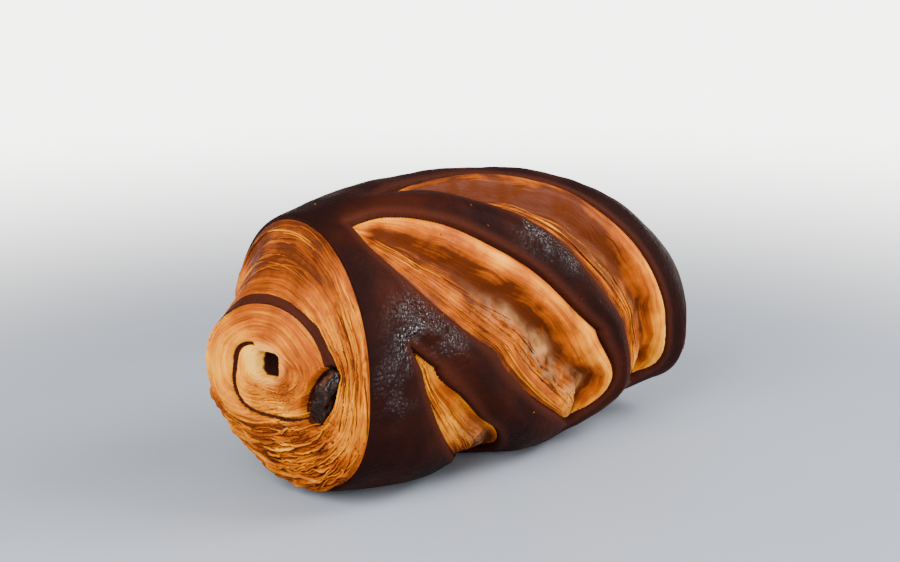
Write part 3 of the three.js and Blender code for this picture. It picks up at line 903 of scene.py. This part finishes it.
def scoreGuides():
    guides = []
    unroll = np.array([1, mmPerDegree])
    places = np.arange(edgeSteps + 1) / edgeSteps
    for score, count in zip(scores, scoreLeaves):
        low, high = (curveThrough([score["tip"], *score[key], score["toe"]], edgeSteps) * unroll
                     for key in ("low", "high"))
        widest = 0.40 + 0.2 * (score["lip"] > valley["wideLip"])
        for _ in range(count):
            across = leafRandom.uniform(0.06, widest) + leafRandom.normal() * 0.015
            start = leafRandom.uniform(0.06, 0.6)
            t = np.linspace(start, min(start + leafRandom.uniform(0.15, 0.45), 0.97), 16)
            drift = leafRandom.normal() * 0.03 * np.linspace(-1, 1, 16)
            share = np.clip(across + drift, 0.05, 0.62)[:, None]
            lowLine, highLine = (
                np.stack([np.interp(t, places, line[:, n]) for n in (0, 1)], 1) for line in (low, high))
            spot = lowLine * (1 - share) + highLine * share
            points, _ = rollSurface(spot[:, 0], spot[:, 1])
            normal = sectionNormal(spot[:, 0], np.radians(spot[:, 1] / mmPerDegree))
            sideways = unit(np.gradient(points, axis=0))
            lean = normal + np.cross(sideways, normal) * leafRandom.uniform(-1.6, 1.6)
            width, tone = leafRandom.uniform(0.18, 0.5), leafRandom.uniform(0.4, 0.95)
            guides.append(leafGuide(points, lean, width, tone, leafRandom.uniform(0, 40)))
    return guides


def grow(name, guides, tree, look):   # run a node tree on guide lines and keep the plain mesh it makes
    counts = [len(guide["points"]) for guide in guides]
    starts = np.cumsum([0, *counts[:-1]]).tolist()
    edges = [(start + k, start + k + 1) for start, count in zip(starts, counts) for k in range(count - 1)]
    mesh = bpy.data.meshes.new(name + "_guides")
    mesh.from_pydata(toMetres(np.concatenate([guide["points"] for guide in guides])).tolist(), edges, [])
    lean = mesh.attributes.new("lean", "FLOAT_VECTOR", "POINT")
    lean.data.foreach_set("vector", np.concatenate([guide["lean"] for guide in guides]).ravel() / 1000)
    for key in ("tone", "layer", "run", "clear", "cocoa", "rub"):
        values = [np.broadcast_to(guide.get(key, 0.0), count) for guide, count in zip(guides, counts)]
        mesh.attributes.new(key, "FLOAT", "POINT").data.foreach_set("value", np.concatenate(values))
    holder = bpy.data.objects.new(name + "_guides", mesh)
    bpy.context.scene.collection.objects.link(holder)
    modifier = holder.modifiers.new("grown", "NODES")
    modifier.node_group = tree
    for item in tree.interface.items_tree:
        if item.name in look:
            modifier[item.identifier] = look[item.name]
    depsgraph = bpy.context.evaluated_depsgraph_get()
    grown = bpy.data.meshes.new_from_object(
        holder.evaluated_get(depsgraph), preserve_all_data_layers=True, depsgraph=depsgraph)
    bpy.data.objects.remove(holder)
    grown.polygons.foreach_set("use_smooth", [True] * len(grown.polygons))
    piece = bpy.data.objects.new(name, grown)
    bpy.context.scene.collection.objects.link(piece)
    print(name, "guides", len(guides), "triangles", sum(len(face.vertices) - 2 for face in grown.polygons))
    return piece


crumbLook = {"Size": 0.00014, "Spread": 1.2, "Seed": 7}
crumbBed = {"count": 34, "along": (-42, 40), "degrees": (-125, 60), "tone": (0.6, 1.2)}


def crumbTree():   # broken specks of crust, one on each guide point
    sheet = Sheet("crumbs", geometry=True)
    sheet.sockets({"Guides": "Geometry", "Size": "Float", "Spread": "Float", "Seed": "Int"}, "Crumbs")
    given = sheet.given
    spots = sheet.node("GeometryNodeMeshToPoints", None, Mesh=given("Guides"))
    speck = sheet.node("GeometryNodeMeshIcoSphere", None, Radius=given("Size"), Subdivisions=2)
    turn = sheet.node("FunctionNodeRandomValue", {"data_type": "FLOAT_VECTOR"},
                      (0, 0, 0), (6.28, 6.28, 6.28), Seed=given("Seed"))
    size = sheet.node("FunctionNodeRandomValue", {"data_type": "FLOAT_VECTOR"},
                      (0.4, 0.5, 0.2), (2.2, 1.5, 0.8), Seed=given("Seed") + 1)
    placed = sheet.node("GeometryNodeInstanceOnPoints", None,
                        Points=spots, Instance=speck, Rotation=turn, Scale=size)
    whole = sheet.node("GeometryNodeRealizeInstances", None, Geometry=placed)
    rough = sheet.node("ShaderNodeTexNoise", None, Scale=2600.0, output="Color")
    centred = sheet.node("ShaderNodeVectorMath", {"operation": "SUBTRACT"}, rough, (0.5, 0.5, 0.5))
    shift = sheet.node("ShaderNodeVectorMath", {"operation": "SCALE"}, centred,
                       Scale=given("Size") * given("Spread"))
    broken = sheet.node("GeometryNodeSetPosition", None, Geometry=whole, Offset=shift)
    dressed = sheet.node("GeometryNodeSetMaterial", None, Geometry=broken, Material=crust)
    sheet.node("NodeGroupOutput", None, Crumbs=dressed)
    return sheet.tree


def crumbGuides():
    count = crumbBed["count"]
    x = leafRandom.uniform(*crumbBed["along"], count)
    angle = leafRandom.uniform(*crumbBed["degrees"], count)
    points, _ = rollSurface(x, angle * mmPerDegree)
    return [{"points": points[k:k + 1], "lean": np.zeros((1, 3)), "layer": k,
             "tone": leafRandom.uniform(*crumbBed["tone"])} for k in range(count)]


pieces = [makeRoll(), *[makeCoil(name, end) for name, end in coilEnds.items()]]
leaves = leafTree()
pieces.append(grow("pastry_coil_leaves", coilGuides(coilSurface["pastry_near_coil"]), leaves, leafLook))
pieces.append(grow("pastry_score_leaves", scoreGuides(), leaves, leafLook))
pieces.append(grow("pastry_crumbs", crumbGuides(), crumbTree(), crumbLook))
for piece in pieces:
    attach(piece, "root")
    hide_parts("pastry")
for key in ("outer", "centre"):
    piece = makeBaton("baton_" + key, baton[key])
    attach(piece, "root")
    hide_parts("chocolate_baton_" + key)
print("pastry built")


stage = {"floor": (0.31, 0.335, 0.38), "vein": 0.86, "distance": (0.96, 0.94, 0.91), "glow": 6.0,
         "size": 90.0, "fadeFrom": 0.10, "fadeTo": 0.50, "sky": (0.93, 0.95, 1.0), "skyStrength": 0.55}
lights = {   # places in mm, sizes in metres, power in watts
    "window": {"place": (325, -310, 410), "size": 0.30, "power": 5.6},
    "fill": {"place": (-420, -160, 300), "size": 0.35, "power": 6.5},
    "front": {"place": (120, -470, 95), "size": 0.22, "power": 2.2},
}
lightTarget = (0, 0, 30)
view = {"place": (-222.4, -251.6, 116.0), "target": (-6.6, -1.0, 36.3), "lens": 68.0, "sensor": 36.0}


def floorMaterial():   # pale stone that runs out into a bright room
    sheet = Sheet("paleStone")
    where = sheet.place()
    cloud = sheet.noise(where, 9.0, 5.0)
    darker = tuple(channel * stage["vein"] for channel in stage["floor"])
    tint = sheet.mix(cloud.between(0.42, 0.72) * 0.3, stage["floor"], darker)
    stone = sheet.node("ShaderNodeBsdfPrincipled", None, **{"Base Color": tint, "Roughness": 0.5})
    room = sheet.node("ShaderNodeEmission", None, (*stage["distance"], 1), stage["glow"])
    reach = sheet.node("ShaderNodeVectorMath", {"operation": "LENGTH"}, where, output="Value")
    fade = reach.between(stage["fadeFrom"], stage["fadeTo"])
    return sheet.finish(sheet.node("ShaderNodeMixShader", None, fade, stone, room))


def makeStage():
    half = stage["size"] / 2
    mesh = bpy.data.meshes.new("floor")
    corners = [(-half, -half, 0), (half, -half, 0), (half, half, 0), (-half, half, 0)]
    mesh.from_pydata(corners, [], [(0, 1, 2, 3)])
    mesh.materials.append(floorMaterial())
    floor = bpy.data.objects.new("floor", mesh)
    bpy.context.scene.collection.objects.link(floor)
    world = bpy.data.worlds.new("softDay")
    world.use_nodes = True
    backdrop = world.node_tree.nodes["Background"]
    backdrop.inputs["Color"].default_value = (*stage["sky"], 1)
    backdrop.inputs["Strength"].default_value = stage["skyStrength"]
    bpy.context.scene.world = world


def aimedObject(name, data, place, target):
    made = bpy.data.objects.new(name, data)
    made.location = Vector(place) / 1000
    made.rotation_euler = (Vector(target) - Vector(place)).to_track_quat("-Z", "Y").to_euler()
    bpy.context.scene.collection.objects.link(made)
    return made


def makeLights():
    for name, lamp in lights.items():
        light = bpy.data.lights.new(name, "AREA")
        light.size, light.energy = lamp["size"], lamp["power"]
        aimedObject(name, light, lamp["place"], lightTarget)


def makeCamera():
    camera = bpy.data.cameras.new("camera")
    camera.lens, camera.sensor_width, camera.clip_start = view["lens"], view["sensor"], 0.01
    bpy.context.scene.camera = aimedObject("camera", camera, view["place"], view["target"])


makeStage()
makeLights()
makeCamera()
print("stage ready")
